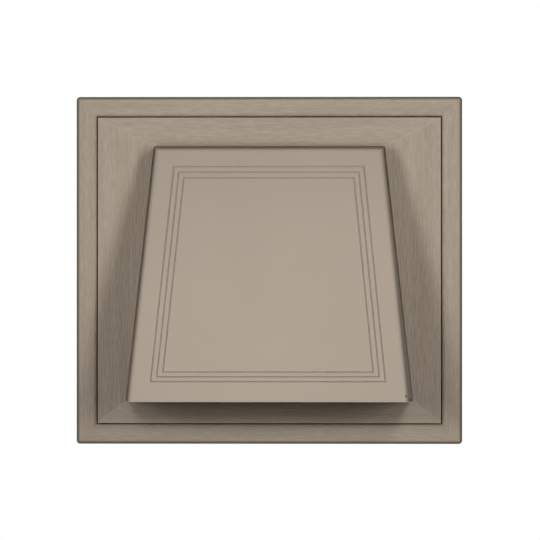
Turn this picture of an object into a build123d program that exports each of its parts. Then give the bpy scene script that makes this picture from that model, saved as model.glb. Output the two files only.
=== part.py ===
from build123d import *
import os
from math import atan2, cos, degrees, hypot, radians, sin, tan

# Hooded siding vent. X runs to the right, Y into the wall and Z up. The origin is on the duct's axis, at
# the face of the wall. "Out" is a distance in front of the wall, so a point at out = 26 has y = -26.

# Trim ring
ring_width = 305.0
ring_height = 274.5
ring_out = 26.0
ring_centre_z = 2.0
ring_side_bar = 16.0
ring_level_bar = 15.5
ring_corner = 2.8
ring_outer_edge = 2.6
ring_inner_edge = 4.0
ring_inner_wall_back = 6.0
wall = 2.2

# Mounting base
flange = 2.2
flange_margin = 0.5
rim_gap = 0.8
rim_land = 0.7
rim_edge = 0.4
rim_out = 24.6
seat_out = 21.5
plate_out = 12.0
seat_gap = 1.4
seat_low_z = -101.5
rib = 1.8
rib_back = 2.0
rib_angles = (0, 40, 90, 140, 180, 220, 270, 320)
boss_back = 6.0
boss_wall = 2.6
nail_slot_length = 18.0
nail_hole = 5.0
nail_slot_spacing_x = 190.0
nail_hole_spacing_z = 140.0

# Snap strips that hold the ring on the base
snap_length = 150.0
snap_height = 0.6
snap_depth = 1.5
snap_out = 8.2
snap_play = 0.2

# Hood
hood_top_z = 98.9
hood_top_out = 42.0
hood_top_width = 180.5
hood_lip_z = -99.2
hood_lip_out = 97.0
hood_lip_width = 224.4
hood_back_z = -99.2
hood_draft = 3.3
hood_edge = 3.6
hood_spare = 12.0
scribe_count = 3
scribe_width = 1.3
scribe_floor = 0.3
scribe_depth = 1.0
scribe_top = 14.9
scribe_top_pitch = 4.65
scribe_side = 16.0
scribe_side_pitch = 4.35
scribe_low = 16.1
scribe_low_pitch = 3.75
hook_length = 12.0
hook_thick = 1.6
hook_barb = 1.2
hook_reach = 5.5
hook_play = 0.4
hook_slot_depth = 5.5
side_hook_z = (45.0, -50.0)
top_hook_x = 45.0

# Duct collar
duct_radius = 75.5
duct_length = 38.0
duct_lead = 1.0
root_radius = 76.2
root_play = 0.3
bore_radius = 73.3
collar_flange = 2.0
collar_flange_radius = 85.0
collar_tab_width = 98.0
collar_tab_top = 85.5
lug_length = 14.0
lug_rise = 1.1
lug_thick = 1.5
rim_top_out = 16.6
ear_inner_x = 41.0
ear_thick = 4.0
ear_radius = 3.3
ear_play = 0.03

# Damper flap and its pin
flap_lean = 4.0
flap_radius = 78.0
flap_thick = 1.8
flap_rest_gap = 0.3
flap_bead_radius = 70.0
flap_bead = 3.0
flap_bead_rise = 1.2
hinge_rise = 4.0
pin_radius = 1.5
pin_length = 94.0
pin_play = 0.06
knuckle_radius = 2.8
knuckle_length = 16.0
knuckle_middle_x = 31.5

# Pest screen
screen_lift = 4.0
screen_thick = 3.0
screen_border = 4.0
screen_bar = 2.0
screen_pitch = 12.0
screen_play = 0.5
screen_back_out = 15.0
ledge_length = 8.0
ledge_width = 3.0
ledge_thick = 2.0
ledge_outs = (35.0, 85.0)

# Worked out from the above
ring_place = Pos(0, ring_centre_z)
opening_width = ring_width - 2 * ring_side_bar
opening_height = ring_height - 2 * ring_level_bar
rim_width = opening_width - 2 * rim_gap
rim_height = opening_height - 2 * rim_gap
hood_flare = (hood_lip_width - hood_top_width) / 2 / (hood_top_z - hood_lip_z)
hood_side_angle = degrees(atan2(hood_flare, 1))
hood_taper = tan(radians(hood_draft))
face_top_z = hood_top_z - (hood_top_out - seat_out) * hood_taper
hood_drop = face_top_z - hood_lip_z
hood_reach = hood_lip_out - hood_top_out
hood_lean = degrees(atan2(hood_reach, hood_drop))
hood_face_length = hypot(hood_reach, hood_drop)
mouth_depth = hood_lip_out - plate_out
mouth_rise = hood_back_z - hood_lip_z
mouth_lean = degrees(atan2(mouth_rise, mouth_depth))


def leaning_plane(out, z, lean):
    """Plane through a point of the centre line, its outward normal tipped up by lean degrees."""
    normal = (0, -cos(radians(lean)), sin(radians(lean)))
    return Plane((0, -out, z), x_dir=(1, 0, 0), z_dir=normal)


face_plane = leaning_plane(hood_top_out, face_top_z, hood_lean)
mouth_plane = leaning_plane(hood_lip_out, hood_lip_z, 90 - mouth_lean)
rim_plane = leaning_plane(rim_top_out, root_radius, flap_lean)
hinge = rim_plane.from_local_coords((0, hinge_rise, flap_rest_gap + flap_thick / 2))


def wall_plane(out):
    """Plane parallel to the wall, facing out, at a distance in front of it."""
    return Plane.XZ.offset(out)


def slab(outline, back, front):
    """Straight moulding of a front-view outline between two distances from the wall."""
    return extrude(wall_plane(back) * outline, amount=front - back)


def hood_half_width(z, out=seat_out):
    """Half the hood's width at a height, on its seat or further out, where the draft has narrowed it."""
    narrowing = (out - seat_out) * hood_taper / cos(radians(hood_side_angle))
    return hood_top_width / 2 + (hood_top_z - z) * hood_flare - narrowing


def hood_outline(low_z, grow=0.0):
    """The hood's outline on its seat down to a height, its top and sides moved outwards by grow."""
    top_z = hood_top_z + grow
    top_half = hood_half_width(top_z) + grow
    low_half = hood_half_width(low_z) + grow
    corners = [(-top_half, top_z), (-low_half, low_z), (low_half, low_z), (top_half, top_z)]
    return Polygon(*corners, align=None)


def snap_strips(width, height):
    """Four strips in front view, each centred on the middle of one edge of a rectangle."""
    level = Rectangle(snap_length, 2 * snap_height)
    upright = Rectangle(2 * snap_height, snap_length)
    rows = [Pos(0, side * height / 2) * level for side in (-1, 1)]
    columns = [Pos(side * width / 2, 0) * upright for side in (-1, 1)]
    return ring_place * (Sketch() + rows + columns)


# Trim ring: a channel section that covers the cut edge of the siding, with barbs on its inner wall
def make_trim_ring():
    outer = ring_place * RectangleRounded(ring_width, ring_height, ring_corner)
    opening = ring_place * Rectangle(opening_width, opening_height)
    ring = slab(outer - opening, flange, ring_out)
    front = ring.faces().sort_by(Axis.Y)[0]
    ring = fillet(front.outer_wire().edges(), ring_outer_edge)
    front = ring.faces().sort_by(Axis.Y)[0]
    ring = fillet(front.inner_wires()[0].edges(), ring_inner_edge)
    inner_wall = ring_place * Rectangle(opening_width + 2 * wall, opening_height + 2 * wall)
    channel = ring_place * Rectangle(ring_width - 2 * wall, ring_height - 2 * wall)
    ring -= slab(channel - inner_wall, flange, ring_out - wall)
    ring -= slab(inner_wall - opening, flange, ring_inner_wall_back)
    barb_front = snap_out - snap_play
    return ring + slab(snap_strips(opening_width, opening_height), barb_front - snap_depth, barb_front)


# Mounting base: nailing flange, collar, dished face, hood seat and ribs in one moulding
def make_mounting_base():
    rim = ring_place * Rectangle(rim_width, rim_height)
    dish_edge = ring_place * Rectangle(rim_width - 2 * rim_land, rim_height - 2 * rim_land)
    seat = hood_outline(seat_low_z, seat_gap)
    dish = loft([wall_plane(rim_out) * dish_edge, wall_plane(seat_out) * seat], ruled=True)
    inside = ring_place * Rectangle(rim_width - 2 * wall, rim_height - 2 * wall)
    plate_zone = slab(hood_outline(seat_low_z - wall, seat_gap + wall), plate_out - wall, rim_out)
    hollow = slab(inside, 0, rim_out - wall) - Pos(0, wall, 0) * dish - plate_zone

    block = slab(rim, 0, rim_out)
    block = fillet(block.faces().sort_by(Axis.Y)[0].edges(), rim_edge)
    base = block - dish - slab(seat, plate_out, seat_out) - hollow
    base += slab(snap_strips(rim_width, rim_height), snap_out, snap_out + snap_depth)

    flange_width = ring_width - 2 * flange_margin
    flange_height = ring_height - 2 * flange_margin
    flange_outline = ring_place * RectangleRounded(flange_width, flange_height, ring_corner)
    slot_places = GridLocations(nail_slot_spacing_x, (rim_height + ring_height) / 2, 2, 2)
    hole_places = GridLocations((rim_width + ring_width) / 2, nail_hole_spacing_z, 2, 2)
    nailing = Sketch() + slot_places * SlotOverall(nail_slot_length, nail_hole)
    nailing += hole_places * Circle(nail_hole / 2)
    base += slab(flange_outline - rim - ring_place * nailing, 0, flange)

    hole_radius = root_radius + root_play
    boss_radius = hole_radius + boss_wall
    spoke = Pos(boss_radius - rib + ring_width / 2, 0) * Rectangle(ring_width, rib)
    spokes = Sketch() + [Rot(Z=angle) * spoke for angle in rib_angles]
    base += slab(Circle(boss_radius), boss_back, plate_out - wall)
    base += slab(spokes, rib_back, rim_out) & hollow
    base -= slab(Circle(hole_radius), 0, rim_out)
    slot_width = hook_thick + 2 * hook_play
    slot_length = hook_length + 2 * hook_play
    for place in hook_places():
        base -= place * Pos(0, -plate_out, 0) * Box(slot_width, hook_slot_depth, slot_length)
    return base


def hook_places():
    """Where the hood's hooks go through the seat plate. At each, X points out of the hood."""
    places = []
    for z in side_hook_z:
        x = hood_half_width(z) - wall / 2
        places.append(Pos(x, 0, z) * Rot(Y=-hood_side_angle))
        places.append(Pos(-x, 0, z) * Rot(Y=hood_side_angle - 180))
    for x in (-top_hook_x, top_hook_x):
        places.append(Pos(x, 0, hood_top_z - wall / 2) * Rot(Y=-90))
    return places


def make_hook():
    """Snap hook that runs back from the end of the hood's wall, its barb behind the seat plate."""
    half = hook_thick / 2
    root = -plate_out - wall
    tip = -plate_out + hook_reach
    shelf = -plate_out + wall + snap_play / 2
    barb = half + hook_barb
    outline = [(half, root), (half, tip), (-half, tip), (-barb, shelf + hook_barb), (-barb, shelf)]
    outline += [(-half, shelf), (-half, root)]
    return extrude(Polygon(*outline, align=None), amount=hook_length / 2, both=True)


def hood_block(low_z, grow, back):
    """Straight foot inside the seat and drafted walls in front of it, before the face is cut."""
    block = slab(hood_outline(low_z, grow), back, hood_lip_out + hood_spare)
    tip = sin(radians(hood_draft))
    level = cos(radians(hood_draft))
    across = level * cos(radians(hood_side_angle))
    rise = level * sin(radians(hood_side_angle))
    for side in (-1, 1):
        seat_point = (side * (hood_half_width(0) + grow), -seat_out, 0)
        side_cut = Plane(seat_point, z_dir=(side * across, -tip, rise))
        block = split(block, bisect_by=side_cut, keep=Keep.BOTTOM)
    top_cut = Plane((0, -seat_out, hood_top_z + grow), z_dir=(0, -tip, level))
    return split(block, bisect_by=top_cut, keep=Keep.BOTTOM)


# Hood: a thin drafted wedge, open behind and below, that widens to its lip
def make_hood():
    low_z = hood_lip_z - hood_spare
    block = hood_block(low_z, 0, plate_out)
    block = split(block, bisect_by=face_plane, keep=Keep.BOTTOM)
    face = block.faces().sort_by(Axis.Y)[0]
    hood = fillet(face.edges().sort_by(Axis.Z)[1:], hood_edge)
    hood = split(hood, bisect_by=mouth_plane, keep=Keep.TOP)
    void = hood_block(low_z - hood_spare, -wall, plate_out - wall)
    hood -= split(void, bisect_by=face_plane.offset(-wall), keep=Keep.BOTTOM)
    for step in range(scribe_count):
        hood -= make_scribe(step)
    for place in hook_places():
        hood += place * make_hook()
    ledge_inner_x = screen_half_width() - ledge_width
    for out in ledge_outs:
        along = (hood_lip_out - out) / cos(radians(mouth_lean))
        ledge_outer_x = hood_half_width(hood_lip_z + screen_lift, out) - wall / 2
        ledge = Box(ledge_outer_x - ledge_inner_x, ledge_length, ledge_thick)
        middle_x = (ledge_outer_x + ledge_inner_x) / 2
        for side in (-1, 1):
            ledge_place = Pos(side * middle_x, along, screen_lift - ledge_thick / 2)
            hood += mouth_plane * ledge_place * ledge
    return hood


def scribe_outline(step, grow):
    """One scribed frame on the hood's face, nested inwards by step and moved outwards by grow."""
    top = -scribe_top - step * scribe_top_pitch
    low = -hood_face_length + scribe_low + step * scribe_low_pitch
    inset = scribe_side + step * scribe_side_pitch
    face_top_half = hood_half_width(face_top_z, hood_top_out)
    face_low_half = hood_half_width(hood_lip_z, hood_lip_out)
    flare = (face_low_half - face_top_half) / hood_face_length
    top_half = face_top_half - top * flare - inset + grow
    low_half = face_top_half - low * flare - inset + grow
    level_top, level_low = top + grow, low - grow
    left = [(-top_half, level_top), (-low_half, level_low)]
    right = [(low_half, level_low), (top_half, level_top)]
    return Polygon(*left, *right, align=None)


def make_scribe(step):
    """Cutter of one scribed V-groove with a narrow flat floor."""
    floor_plane = face_plane.offset(-scribe_depth)
    half, flat = scribe_width / 2, scribe_floor / 2
    outside = [face_plane * scribe_outline(step, half), floor_plane * scribe_outline(step, flat)]
    inside = [face_plane * scribe_outline(step, -half), floor_plane * scribe_outline(step, -flat)]
    return loft(outside, ruled=True) - loft(inside, ruled=True)


def screen_half_width():
    """Half the pest screen's width, from the narrowest place between the hood's sides."""
    highest_z = hood_back_z + screen_lift + screen_thick
    return hood_half_width(highest_z, hood_lip_out) - wall - screen_play


# Pest screen: a barred panel that lies on four ledges just inside the mouth
def make_pest_screen():
    lean = radians(hood_lean + mouth_lean)
    near = wall / cos(lean) + (screen_lift + screen_thick) * tan(lean) + screen_play
    far = (hood_lip_out - screen_back_out) / cos(radians(mouth_lean))
    width = 2 * screen_half_width()
    depth = far - near
    border = Rectangle(width, depth) - Rectangle(width - 2 * screen_border, depth - 2 * screen_border)
    bar_count = int((width - 2 * screen_border) / screen_pitch)
    bars = GridLocations(screen_pitch, 0, bar_count, 1) * Rectangle(screen_bar, depth)
    outline = border + bars + Rectangle(width, screen_bar)
    place = mouth_plane.offset(screen_lift) * Pos(0, near + depth / 2)
    return extrude(place * outline, amount=screen_thick)


# Duct collar: tail pipe with a leaning rim, a flange in front of the seat plate and two hinge ears
def make_duct_collar():
    root = slab(Circle(root_radius) - Circle(bore_radius), 0, hood_lip_out)
    root = split(root, bisect_by=rim_plane, keep=Keep.BOTTOM)
    pipe = slab(Circle(duct_radius) - Circle(bore_radius), -duct_length, 0)
    end = pipe.faces().sort_by(Axis.Y)[-1]
    pipe = chamfer(end.outer_wire().edges(), duct_lead)

    tab_height = collar_tab_top - root_radius / 2
    tab = Pos(0, collar_tab_top - tab_height / 2) * Rectangle(collar_tab_width, tab_height)
    disc = Circle(collar_flange_radius) + tab - Circle(bore_radius)
    collar = root + pipe + slab(disc, plate_out, plate_out + collar_flange)

    cross = Rectangle(2 * ring_width, lug_length) + Rectangle(lug_length, 2 * ring_width)
    lug_band = Circle(root_radius + lug_rise) - Circle(root_radius - lug_rise)
    lug_front = boss_back - snap_play / 2
    collar += slab(lug_band & Rot(Z=45) * cross, lug_front - lug_thick, lug_front)

    foot_y = -plate_out - collar_flange / 2
    foot = Pos((hinge.Y + foot_y) / 2, hinge.Z) * Rectangle(foot_y - hinge.Y, 2 * ear_radius)
    eye = Pos(hinge.Y, hinge.Z) * Circle(ear_radius)
    hole = Pos(hinge.Y, hinge.Z) * Circle(pin_radius + ear_play)
    ear = extrude(Plane.YZ.offset(ear_inner_x) * (foot + eye - hole), amount=ear_thick)
    return collar + ear + mirror(ear, about=Plane.YZ)


# Hinge pin: a straight steel pin held in the ears
def make_hinge_pin():
    return Pos(hinge) * Rot(Y=90) * Cylinder(pin_radius, pin_length)


# Damper flap: a thin disc with a stiffening bead and two knuckles on the pin
def make_damper_flap():
    back_plane = rim_plane.offset(flap_rest_gap)
    centre = Pos(0, -root_radius / cos(radians(flap_lean)))
    below_hinge = Pos(0, -flap_radius) * Rectangle(2 * flap_radius, 2 * flap_radius)
    disc = centre * Circle(flap_radius) & below_hinge
    bead = centre * (Circle(flap_bead_radius) - Circle(flap_bead_radius - flap_bead))
    tab = Pos(0, hinge_rise - knuckle_length / 2) * Rectangle(knuckle_length, knuckle_length)
    tabs = [Pos(side * knuckle_middle_x, 0) * tab for side in (-1, 1)]
    flap = extrude(back_plane * (disc + tabs), amount=flap_thick)
    flap += extrude(back_plane * bead, amount=flap_thick + flap_bead_rise)
    for side in (-1, 1):
        place = Pos(side * knuckle_middle_x, hinge.Y, hinge.Z) * Rot(Y=90)
        flap += place * Cylinder(knuckle_radius, knuckle_length)
        flap -= place * Cylinder(pin_radius + pin_play, 2 * knuckle_length)
    return flap


os.makedirs("parts", exist_ok=True)
export_step(make_trim_ring(), "parts/trim_ring.step")
export_step(make_mounting_base(), "parts/mounting_base.step")
export_step(make_hood(), "parts/hood.step")
export_step(make_pest_screen(), "parts/pest_screen.step")
export_step(make_duct_collar(), "parts/duct_collar.step")
export_step(make_hinge_pin(), "parts/hinge_pin.step")
export_step(make_damper_flap(), "parts/damper_flap.step")
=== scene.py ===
import math
from types import SimpleNamespace

import bpy
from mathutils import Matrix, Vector


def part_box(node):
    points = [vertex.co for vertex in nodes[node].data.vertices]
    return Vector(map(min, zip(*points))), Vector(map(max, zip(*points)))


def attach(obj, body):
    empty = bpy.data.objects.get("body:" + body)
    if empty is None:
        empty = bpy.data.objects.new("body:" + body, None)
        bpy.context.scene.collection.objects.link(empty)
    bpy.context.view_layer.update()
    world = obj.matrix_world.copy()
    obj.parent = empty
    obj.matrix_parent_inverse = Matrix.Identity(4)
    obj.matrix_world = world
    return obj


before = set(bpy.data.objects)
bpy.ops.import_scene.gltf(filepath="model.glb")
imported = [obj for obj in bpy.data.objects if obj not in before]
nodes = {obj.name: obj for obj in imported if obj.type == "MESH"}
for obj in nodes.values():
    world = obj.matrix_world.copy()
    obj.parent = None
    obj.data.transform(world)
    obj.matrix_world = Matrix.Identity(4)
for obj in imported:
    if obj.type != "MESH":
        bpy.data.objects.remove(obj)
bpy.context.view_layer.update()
scene = bpy.context.scene


# Mounting base: one injection moulding in clay-coloured vinyl, nailed to the wall through its flange.
# Its face is laid out like a picture frame: wood grain runs along each of the four sides and stops at
# thin smooth mitre lines that run from the corners of the rim to the corners of the hood.
clay_light = (0.414, 0.348, 0.277, 1)
clay_dark = (0.328, 0.272, 0.214, 1)
base_low, base_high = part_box("mounting_base")
face_centre_z = (base_low.z + base_high.z) / 2
rim_corner = (0.1350, 0.12025)
hood_top_corner = (0.0915, 0.1003)
hood_low_corner = (0.1139, -0.1015)
seat_front_y = -0.0215
mitre_line_width = 0.0009
mitre_line_core = 0.3 * mitre_line_width
base_line_tone = 0.85


def fill(tree, target, values):
    """Gives a node its inputs by name or number: a socket is linked, anything else is set."""
    for key, value in values.items():
        if isinstance(value, bpy.types.NodeSocket):
            tree.links.new(value, target.inputs[key])
        else:
            target.inputs[key].default_value = value


def grow(tree, kind, values=None, **settings):
    """Adds a shader node with its settings and inputs."""
    made = tree.nodes.new("ShaderNode" + kind)
    for key, value in settings.items():
        setattr(made, key, value)
    fill(tree, made, values or {})
    return made


def reckon(tree, operation, *operands):
    """Adds a Math node and gives its result."""
    made = grow(tree, "Math", operation=operation)
    fill(tree, made, dict(enumerate(operands)))
    return made.outputs[0]


def ramp(tree, value, low, high, to_low=0.0, to_high=1.0):
    """Eases a value between two limits."""
    made = grow(tree, "MapRange", {"Value": value}, interpolation_type="SMOOTHSTEP")
    fill(tree, made, {"From Min": low, "From Max": high, "To Min": to_low, "To Max": to_high})
    return made.outputs["Result"]


def stretched_noise(tree, places, cells, detail, roughness=0.5, layer=0.0):
    """Adds noise with so many cells per metre of each place, so that it can be longer one way."""
    spot = grow(tree, "CombineXYZ", {"Z": layer})
    for axis, (place, count) in enumerate(zip(places, cells)):
        fill(tree, spot, {axis: reckon(tree, "MULTIPLY", place, count)})
    values = {"Vector": spot.outputs[0], "Scale": 1.0, "Detail": detail, "Roughness": roughness}
    return grow(tree, "TexNoise", values).outputs["Fac"]


def colour_between(tree, factor, low, high):
    """Mixes two colours by a value that varies over the surface."""
    # Sockets 6 and 7 of a Mix node take its colours, and output 2 gives the mixed one
    mix = grow(tree, "Mix", data_type="RGBA")
    fill(tree, mix, {"Factor": factor, 6: low, 7: high})
    return mix.outputs[2]


def begin_group(name, inputs, outputs):
    """Starts a node group with float sockets, and gives its tree, its input node and its output node."""
    tree = bpy.data.node_groups.new(name, "ShaderNodeTree")
    for socket in inputs:
        tree.interface.new_socket(socket, in_out="INPUT", socket_type="NodeSocketFloat")
    for socket in outputs:
        tree.interface.new_socket(socket, in_out="OUTPUT", socket_type="NodeSocketFloat")
    return tree, tree.nodes.new("NodeGroupInput"), tree.nodes.new("NodeGroupOutput")


def place_group(tree, group, values):
    """Places a node group in a material."""
    made = tree.nodes.new("ShaderNodeGroup")
    made.node_tree = group
    fill(tree, made, values)
    return made.outputs


def begin_material(name):
    """Starts a material, and gives it with its tree, its shader and the place on the piece."""
    material = bpy.data.materials.new(name)
    material.use_nodes = True
    tree = material.node_tree
    shader = tree.nodes["Principled BSDF"]
    place = grow(tree, "TexCoord").outputs["Object"]
    axes = grow(tree, "SeparateXYZ", {"Vector": place}).outputs
    return SimpleNamespace(material=material, tree=tree, shader=shader, place=place, axes=axes)


def dress(name, material):
    """Puts a material on every slot of a CAD node."""
    piece = nodes[name]
    if not piece.material_slots:
        piece.data.materials.append(material)
    for slot in piece.material_slots:
        slot.material = material


# Wood grain as pressed into vinyl: long fine streaks that wander a little, over slow broad bands.
# Cells are counted per metre, first along the grain and then across it.
drift_cells = (40.0, 60.0)
drift_reach = 0.0022
streak_cells = (95.0, 900.0)
streak_limits = (0.30, 0.70)
streak_height = 0.7
streak_tone = 0.75
band_cells = (9.0, 210.0)
band_layer = 7.3
band_limits = (0.28, 0.72)
band_height = 0.3
band_tone = 0.5
tone_shift = -0.125
grain, entry, leave = begin_group("pressed_wood_grain", ["Along", "Across"], ["Height", "Tone"])
along, across = entry.outputs["Along"], entry.outputs["Across"]
drift = stretched_noise(grain, (along, across), drift_cells, detail=1.0)
drift_offset = reckon(grain, "MULTIPLY_ADD", drift, drift_reach, -drift_reach / 2)
wandering = reckon(grain, "ADD", across, drift_offset)
fine = stretched_noise(grain, (along, wandering), streak_cells, detail=2.0, roughness=0.55)
broad = stretched_noise(grain, (along, wandering), band_cells, detail=2.0, layer=band_layer)
streaks = ramp(grain, fine, *streak_limits)
bands = ramp(grain, broad, *band_limits)
raised_bands = reckon(grain, "MULTIPLY", bands, band_height)
toned_streaks = reckon(grain, "MULTIPLY_ADD", streaks, streak_tone, tone_shift)
fill(grain, leave, {"Height": reckon(grain, "MULTIPLY_ADD", streaks, streak_height, raised_bands)})
fill(grain, leave, {"Tone": reckon(grain, "MULTIPLY_ADD", bands, band_tone, toned_streaks)})

# Fine even matte of a sparked mould: small soft pits and a very slow change of tone
slow_cells = 14.0
slow_tone = 0.55
pit_tone = 0.45
matte, entry, leave = begin_group("sparked_matte", ["X", "Y", "Z", "Pitch"], ["Height", "Tone"])
spot = grow(matte, "CombineXYZ", {axis: entry.outputs[axis] for axis in "XYZ"}).outputs[0]
pit_cells = reckon(matte, "DIVIDE", 1.0, entry.outputs["Pitch"])
pit_values = {"Vector": spot, "Scale": pit_cells, "Detail": 3.0, "Roughness": 0.6}
pits = grow(matte, "TexNoise", pit_values).outputs["Fac"]
slow = grow(matte, "TexNoise", {"Vector": spot, "Scale": slow_cells, "Detail": 2.0}).outputs["Fac"]
toned_slow = reckon(matte, "MULTIPLY", slow, slow_tone)
fill(matte, leave, {"Height": pits, "Tone": reckon(matte, "MULTIPLY_ADD", pits, pit_tone, toned_slow)})


def sanded(finish, pitch):
    """Places the matte in a material, with its pits so far apart."""
    places = {axis: finish.axes[axis] for axis in "XYZ"}
    return place_group(finish.tree, matte, {**places, "Pitch": pitch})


grain_depth = 0.00028
grain_share = 0.75
sand_share = 0.25
sand_pitch = 0.0006
rough_dark = 0.66
rough_light = 0.56


def grained_vinyl(finish, mitre_side, line_tone, facing, edge=None):
    """Finishes a grained material. mitre_side is the distance from the mitre line, above 0 on level
    sides, facing is the normal under the grain, and edge is a mask with the colour of painted shade
    there."""
    tree, axes = finish.tree, finish.axes
    level = reckon(tree, "GREATER_THAN", mitre_side, 0.0)
    upright = reckon(tree, "SUBTRACT", 1.0, level)
    depth_z = reckon(tree, "ADD", axes["Z"], axes["Y"])
    depth_x = reckon(tree, "ADD", axes["X"], axes["Y"])
    level_along = reckon(tree, "MULTIPLY", level, axes["X"])
    level_across = reckon(tree, "MULTIPLY", level, depth_z)
    along = reckon(tree, "MULTIPLY_ADD", upright, axes["Z"], level_along)
    across = reckon(tree, "MULTIPLY_ADD", upright, depth_x, level_across)
    grained = place_group(tree, grain, {"Along": along, "Across": across})
    from_line = reckon(tree, "ABSOLUTE", mitre_side)
    line = ramp(tree, from_line, mitre_line_core, mitre_line_width, 1.0, 0.0)
    off_line = reckon(tree, "SUBTRACT", 1.0, line)
    toned_sand = reckon(tree, "MULTIPLY", sanded(finish, sand_pitch)["Tone"], sand_share)
    grain_tone = reckon(tree, "MULTIPLY_ADD", grained["Tone"], grain_share, toned_sand)
    tone = reckon(tree, "MAXIMUM", grain_tone, reckon(tree, "MULTIPLY", line, line_tone))
    colour = colour_between(tree, tone, clay_dark, clay_light)
    # painted shade: the edge mask darkens the vinyl's colour towards a dark shade colour
    if edge:
        colour = colour_between(tree, edge[0], colour, edge[1])
    height = reckon(tree, "MULTIPLY_ADD", grained["Height"], off_line, line)
    relief = {"Strength": 1.0, "Distance": grain_depth, "Height": height, "Normal": facing}
    normal = grow(tree, "Bump", relief).outputs["Normal"]
    rough = ramp(tree, tone, 0.0, 1.0, rough_dark, rough_light)
    fill(tree, finish.shader, {"Base Color": colour, "Roughness": rough, "Normal": normal})
    fill(tree, finish.shader, {"Specular IOR Level": 0.0})
    return finish.material


def mitre_from(finish, outer, inner):
    """Distance from the line between two corners of the right half, above 0 towards the level side."""
    tree, axes = finish.tree, finish.axes
    run = Vector((inner[0] - outer[0], inner[1] - outer[1]))
    away = Vector((-run.y, run.x)).normalized()
    if away.y * inner[1] < 0:
        away = -away
    width = reckon(tree, "ABSOLUTE", axes["X"])
    past_x = reckon(tree, "MULTIPLY", reckon(tree, "SUBTRACT", width, outer[0]), away.x)
    return reckon(tree, "MULTIPLY_ADD", reckon(tree, "SUBTRACT", axes["Z"], outer[1]), away.y, past_x)


base = begin_material("base_grained_vinyl")
top_outer = (rim_corner[0], face_centre_z + rim_corner[1])
low_outer = (rim_corner[0], face_centre_z - rim_corner[1])
top_mitre = mitre_from(base, top_outer, hood_top_corner)
low_mitre = mitre_from(base, low_outer, hood_low_corner)
base_mitre = reckon(base.tree, "MAXIMUM", top_mitre, low_mitre)

# The two upright sides of the dish are shaded as slightly hollow, more so towards the bottom: their
# normal leans in towards the hood by these shares of its length
hollow_low_z = -0.10
hollow_low_lean = 0.20
hollow_top_z = 0.12
hollow_top_lean = 0.08
dish_back_y = seat_front_y + 0.0003
base_normal = grow(base.tree, "NewGeometry").outputs["Normal"]
hollow = ramp(base.tree, base.axes["Z"], hollow_low_z, hollow_top_z, hollow_low_lean, hollow_top_lean)
on_upright = reckon(base.tree, "LESS_THAN", base_mitre, 0.0)
on_dish = reckon(base.tree, "LESS_THAN", base.axes["Y"], dish_back_y)
lean = reckon(base.tree, "MULTIPLY", reckon(base.tree, "MULTIPLY", on_upright, on_dish), hollow)
inwards = reckon(base.tree, "MULTIPLY", reckon(base.tree, "SIGN", base.axes["X"]), -1.0)
lean_x = grow(base.tree, "CombineXYZ", {"X": reckon(base.tree, "MULTIPLY", lean, inwards)}).outputs[0]
leant = grow(base.tree, "VectorMath", {0: base_normal, 1: lean_x}, operation="ADD").outputs["Vector"]
dish_normal = grow(base.tree, "VectorMath", {0: leant}, operation="NORMALIZE").outputs["Vector"]
base_vinyl = grained_vinyl(base, base_mitre, base_line_tone, dish_normal)
dress("mounting_base", base_vinyl)


# Step of the base inside the hood's seat, on three sides: it centres the hood and floors the narrow gap
# around it. It is part of the same moulding.
hood_foot_top = (0.09025, 0.0989)
hood_foot_flare = 0.1108
seat_gap = 0.0014
step_low_depth = 0.0019
step_top_depth = 0.0034
step_thick = 0.0015
step_play = 0.0001
step_root = 0.0004
step_low_z = -0.1017


def seat_path(grow_by):
    """Corners of the hood's outline on its seat, moved outwards, from low left to low right."""
    top_z = hood_foot_top[1] + grow_by
    top_x = hood_foot_top[0] + grow_by
    low_x = top_x + (hood_foot_top[1] - step_low_z) * hood_foot_flare
    return [(-low_x, step_low_z), (-top_x, top_z), (top_x, top_z), (low_x, step_low_z)]


step_points = []
for (inner_x, inner_z), (outer_x, outer_z) in zip(seat_path(step_play), seat_path(seat_gap + step_root)):
    step_front = seat_front_y + (step_top_depth if inner_z > 0 else step_low_depth)
    step_back = step_front + step_thick
    step_points += [(inner_x, step_front, inner_z), (outer_x, step_front, outer_z)]
    step_points += [(outer_x, step_back, outer_z), (inner_x, step_back, inner_z)]
# Four points at each of four corners: the two ends first, then the four sides of each of three runs
step_faces = [(0, 1, 2, 3), (15, 14, 13, 12)]
for start in (0, 4, 8):
    for side in range(4):
        following = (side + 1) % 4
        step_faces.append((start + following, start + side, start + 4 + side, start + 4 + following))
step_mesh = bpy.data.meshes.new("seat_step")
step_mesh.from_pydata(step_points, [], step_faces)
step_mesh.materials.append(base_vinyl)
seat_step = bpy.data.objects.new("seat_step", step_mesh)
scene.collection.objects.link(seat_step)
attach(seat_step, "vent")


# Duct collar: moulded tail pipe that is pushed through the base from the front and held by its lugs.
# It is plain vinyl of the same colour, with the even matte of the mould and no grain.
clay = (0.383, 0.320, 0.253, 1)
inner_pitch = 0.0008
inner_rough = 0.55
pit_depth = 0.00008
pit_strength = 0.25
pit_tones = (0.2, 0.8)
rough_spread = 0.05


def plain_vinyl(finish, colour, tone, height, rough):
    """Finishes a plain moulded material, with shallow pits and less roughness where it is lighter."""
    relief = {"Strength": pit_strength, "Distance": pit_depth, "Height": height}
    normal = grow(finish.tree, "Bump", relief).outputs["Normal"]
    varied = ramp(finish.tree, tone, *pit_tones, rough + rough_spread, rough - rough_spread)
    fill(finish.tree, finish.shader, {"Base Color": colour, "Roughness": varied, "Normal": normal})
    fill(finish.tree, finish.shader, {"Specular IOR Level": 0.0})
    return finish.material


inner = begin_material("inner_plain_vinyl")
inner_sand = sanded(inner, inner_pitch)
inner_colour = colour_between(inner.tree, inner_sand["Tone"], clay_dark, clay)
inner_vinyl = plain_vinyl(inner, inner_colour, inner_sand["Tone"], inner_sand["Height"], inner_rough)
dress("duct_collar", inner_vinyl)


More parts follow.
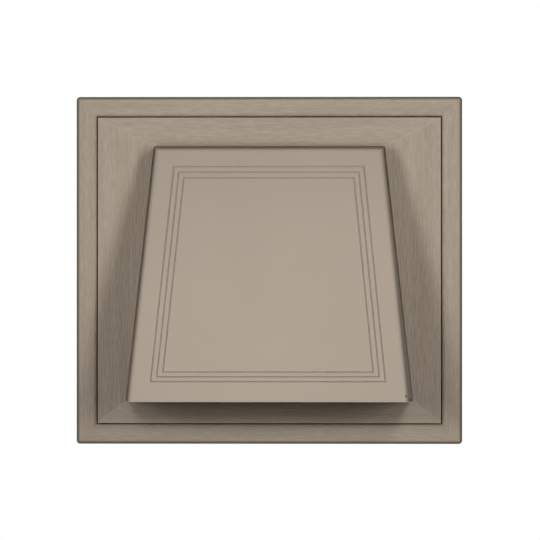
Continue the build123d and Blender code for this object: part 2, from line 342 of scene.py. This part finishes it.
# Hinge pin: a straight length of drawn steel wire pressed into the collar's two ears.
# Drawing leaves fine lines along it.
steel_dark = (0.45, 0.45, 0.46, 1)
steel_bright = (0.62, 0.62, 0.63, 1)
drawn_cells = (30.0, 4000.0, 4000.0)
drawn_limits = (0.3, 0.7)
drawn_rough = (0.42, 0.28)
drawn_depth = 0.00002
drawn_strength = 0.2
pin = begin_material("drawn_pin_steel")
drawn = stretched_noise(pin.tree, [pin.axes[axis] for axis in "XYZ"], drawn_cells, detail=2.0)
steel_colour = colour_between(pin.tree, drawn, steel_dark, steel_bright)
steel_rough = ramp(pin.tree, drawn, *drawn_limits, *drawn_rough)
steel_relief = {"Strength": drawn_strength, "Distance": drawn_depth, "Height": drawn}
steel_normal = grow(pin.tree, "Bump", steel_relief).outputs["Normal"]
fill(pin.tree, pin.shader, {"Base Color": steel_colour, "Roughness": steel_rough})
fill(pin.tree, pin.shader, {"Normal": steel_normal, "Metallic": 1.0})
dress("hinge_pin", pin.material)


# Damper flap: a thin disc with a stiffening bead, moulded in the same plain vinyl as the collar.
# Two knuckles hold it on the pin, and the air lifts it.
dress("damper_flap", inner_vinyl)


# Pest screen: a panel of bars that keeps birds and mice out, moulded in the same plain vinyl.
# It lies on four ledges inside the hood's mouth.
dress("pest_screen", inner_vinyl)


# Hood: the moulded wedge that sheds rain, clipped to the base by hooks at its back edge.
# Its face is smooth vinyl with a very fine matte and three scribed lines, and it has a small dark nick
# near the lower right corner.
hood_low = (0.347, 0.291, 0.235, 1)
hood_high = (0.397, 0.335, 0.273, 1)
hood_pitch = 0.0007
hood_rough = 0.57
nick_colour = (0.080, 0.063, 0.048, 1)
nick_place = (0.1061, -0.0950, -0.0948)
nick_size = 0.0013
nick_core = 0.5 * nick_size
nick_depth_in_pits = 3.0
hood = begin_material("hood_smooth_vinyl")
hood_sand = sanded(hood, hood_pitch)
from_nick = grow(hood.tree, "VectorMath", {0: hood.place, 1: nick_place}, operation="DISTANCE")
nick = ramp(hood.tree, from_nick.outputs["Value"], nick_core, nick_size, 1.0, 0.0)
hood_colour = colour_between(hood.tree, hood_sand["Tone"], hood_low, hood_high)
nicked_colour = colour_between(hood.tree, nick, hood_colour, nick_colour)
nick_fall = reckon(hood.tree, "MULTIPLY", nick, nick_depth_in_pits)
hood_height = reckon(hood.tree, "SUBTRACT", hood_sand["Height"], nick_fall)
dress("hood", plain_vinyl(hood, nicked_colour, hood_sand["Tone"], hood_height, hood_rough))


# Trim ring: a moulded channel in the same grained vinyl that clips over the base and hides the cut
# siding. Its four bars are mitred at the corners, and painted shade darkens the rounded outer edge.
# Painted shade: a dark colour laid on the rounded outer edge of the front, where that edge turns away
# from the lamps
edge_shade_colour = (0.180, 0.149, 0.117, 1)
ring_low, ring_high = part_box("trim_ring")
ring_half_width = (ring_high.x - ring_low.x) / 2
ring_half_height = (ring_high.z - ring_low.z) / 2
ring_front_y = ring_low.y
ring_line_tone = 0.6
edge_core_width = 0.0013
edge_width = 0.0030
edge_core_back_y = ring_front_y + 0.0020
edge_back_y = ring_front_y + 0.0045
ring = begin_material("ring_grained_vinyl")
ring_z = reckon(ring.tree, "SUBTRACT", ring.axes["Z"], face_centre_z)
from_side = reckon(ring.tree, "SUBTRACT", ring_half_width, reckon(ring.tree, "ABSOLUTE", ring.axes["X"]))
from_level = reckon(ring.tree, "SUBTRACT", ring_half_height, reckon(ring.tree, "ABSOLUTE", ring_z))
past_mitre = reckon(ring.tree, "SUBTRACT", from_side, from_level)
ring_mitre = reckon(ring.tree, "MULTIPLY", past_mitre, math.sqrt(0.5))
from_edge = reckon(ring.tree, "MINIMUM", from_side, from_level)
# Mask of the painted shade: the outermost few millimetres of the front, on all four sides
at_edge = ramp(ring.tree, from_edge, edge_core_width, edge_width, 1.0, 0.0)
at_front = ramp(ring.tree, ring.axes["Y"], edge_core_back_y, edge_back_y, 1.0, 0.0)
ring_edge_shade = reckon(ring.tree, "MULTIPLY", at_edge, at_front)
ring_normal = grow(ring.tree, "NewGeometry").outputs["Normal"]
dress("trim_ring", grained_vinyl(ring, ring_mitre, ring_line_tone, ring_normal, (ring_edge_shade, edge_shade_colour)))


# Studio: a plain pale floor below the picture, three soft boxes on each side in front of the vent, and
# two behind it for its back and top. The background is white to the camera, mirrors and glass, and
# lights the vent only faintly.
floor_colour = (0.8, 0.8, 0.79, 1)
floor_rough = 0.8
floor_half_width = 1.8
floor_front_y = -1.8
floor_back_y = 1.4
floor_z = -0.8
background_white = (1, 1, 1, 1)
background_light = 0.01
lit_place = Vector((0, -0.05, face_centre_z))

floor_mesh = bpy.data.meshes.new("floor")
floor_corners = [(-floor_half_width, floor_front_y, floor_z), (floor_half_width, floor_front_y, floor_z)]
floor_corners += [(floor_half_width, floor_back_y, floor_z), (-floor_half_width, floor_back_y, floor_z)]
floor_mesh.from_pydata(floor_corners, [], [(0, 1, 2, 3)])
floor = bpy.data.objects.new("floor", floor_mesh)
scene.collection.objects.link(floor)
floor_paint = bpy.data.materials.new("pale_floor")
floor_paint.use_nodes = True
floor_shader = floor_paint.node_tree.nodes["Principled BSDF"]
fill(floor_paint.node_tree, floor_shader, {"Base Color": floor_colour, "Roughness": floor_rough})
floor_mesh.materials.append(floor_paint)


def soft_box(name, azimuth, elevation, distance, size, power):
    """Area lamp aimed at the vent, by degrees to the right of the front and above it."""
    turn, rise = math.radians(azimuth), math.radians(elevation)
    away = Vector((math.sin(turn) * math.cos(rise), -math.cos(turn) * math.cos(rise), math.sin(rise)))
    lamp = bpy.data.lights.new(name, "AREA")
    lamp.shape = "RECTANGLE"
    lamp.size, lamp.size_y = size
    lamp.energy = power
    fixture = bpy.data.objects.new(name, lamp)
    fixture.location = lit_place + away * distance
    fixture.rotation_euler = away.to_track_quat("Z", "Y").to_euler()
    fixture.visible_camera = False
    scene.collection.objects.link(fixture)


soft_box("left_wide_box", azimuth=-36.0, elevation=5.0, distance=1.3, size=(0.35, 0.40), power=4.25)
soft_box("left_near_box", azimuth=-20.0, elevation=-0.5, distance=0.38, size=(0.09, 0.08), power=0.37)
soft_box("left_high_box", azimuth=-40.0, elevation=35.0, distance=0.6, size=(0.14, 0.16), power=0.30)
soft_box("right_wide_box", azimuth=36.0, elevation=5.0, distance=1.3, size=(0.35, 0.40), power=4.05)
soft_box("right_near_box", azimuth=20.0, elevation=-0.5, distance=0.38, size=(0.09, 0.08), power=0.27)
soft_box("right_high_box", azimuth=31.0, elevation=28.0, distance=0.6, size=(0.14, 0.20), power=0.83)
soft_box("back_box", azimuth=180.0, elevation=0.0, distance=1.3, size=(0.60, 0.60), power=11.0)
soft_box("top_box", azimuth=180.0, elevation=65.0, distance=1.3, size=(0.60, 0.60), power=3.0)

world = bpy.data.worlds.new("white_studio")
world.use_nodes = True
scene.world = world
sky = world.node_tree
rays = grow(sky, "LightPath").outputs
seen = reckon(sky, "MAXIMUM", rays["Is Camera Ray"], rays["Is Transmission Ray"])
seen = reckon(sky, "MAXIMUM", seen, rays["Is Glossy Ray"])
background = ramp(sky, seen, 0.0, 1.0, background_light, 1.0)
fill(sky, sky.nodes["Background"], {"Color": background_white, "Strength": background})


# Camera: level, 2.5 m in front of the ring's face and a little to the right, at the photograph's scale.
# Its shift puts the middle of the ring at ring_centre_pixel in the 540 by 540 frame.
view_distance = 2.5
view_turn = math.radians(0.85)
metres_per_pixel = 0.0007904
half_frame = 270
ring_centre_pixel = (269.2, 270.35)
sensor_width = 36.0
camera_data = bpy.data.cameras.new("camera")
camera_data.sensor_width = sensor_width
camera_data.lens = sensor_width / 2 * view_distance / (metres_per_pixel * half_frame)
camera_data.shift_x = (half_frame - ring_centre_pixel[0]) / (2 * half_frame)
camera_data.shift_y = (ring_centre_pixel[1] - half_frame) / (2 * half_frame)
camera = bpy.data.objects.new("camera", camera_data)
camera_x = view_distance * math.sin(view_turn)
camera_y = ring_front_y - view_distance * math.cos(view_turn)
camera.location = (camera_x, camera_y, face_centre_z)
camera.rotation_euler = (math.radians(90), 0, view_turn)
scene.collection.objects.link(camera)
scene.camera = camera
scene.view_settings.view_transform = "Standard"
